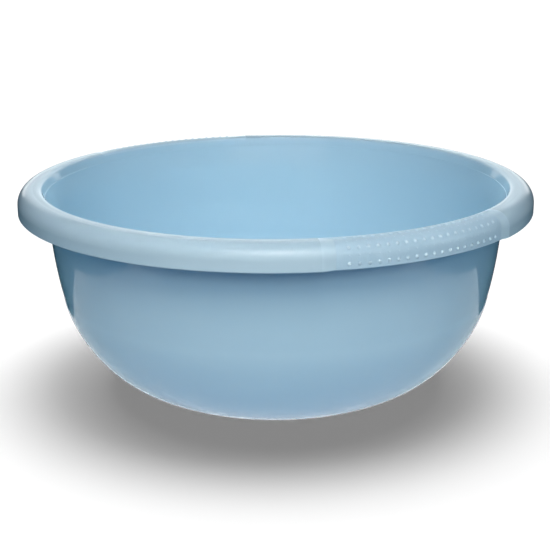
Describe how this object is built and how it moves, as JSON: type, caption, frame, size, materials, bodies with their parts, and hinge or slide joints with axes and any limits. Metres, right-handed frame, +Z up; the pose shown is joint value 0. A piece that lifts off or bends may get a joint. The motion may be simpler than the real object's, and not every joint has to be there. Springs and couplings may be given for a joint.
{
  "type": "wash basin bowl",
  "caption": "Round light blue plastic wash basin with a turned-down rim, a foot ring and two opposite soft grip pads set into the rim.",
  "frame": {"origin": "centre of the foot ring, on the surface that the bowl stands on", "axes": "+Z up along the bowl's axis; the two grip pads are centred on +X and -X"},
  "size_m": [0.3588, 0.36, 0.15],
  "materials": {
    "bowl_plastic": "glossy injection-moulded polypropylene, light blue, slightly translucent at thin edges",
    "grip_soft": "fine-grained matt soft-touch skin in the same light blue, with rows of small domed nubs"
  },
  "bodies": {
    "root": {"bowl_shell": "bowl_plastic", "grip_pad_right": "grip_soft", "grip_pad_left": "grip_soft"}
  },
  "joints": []
}
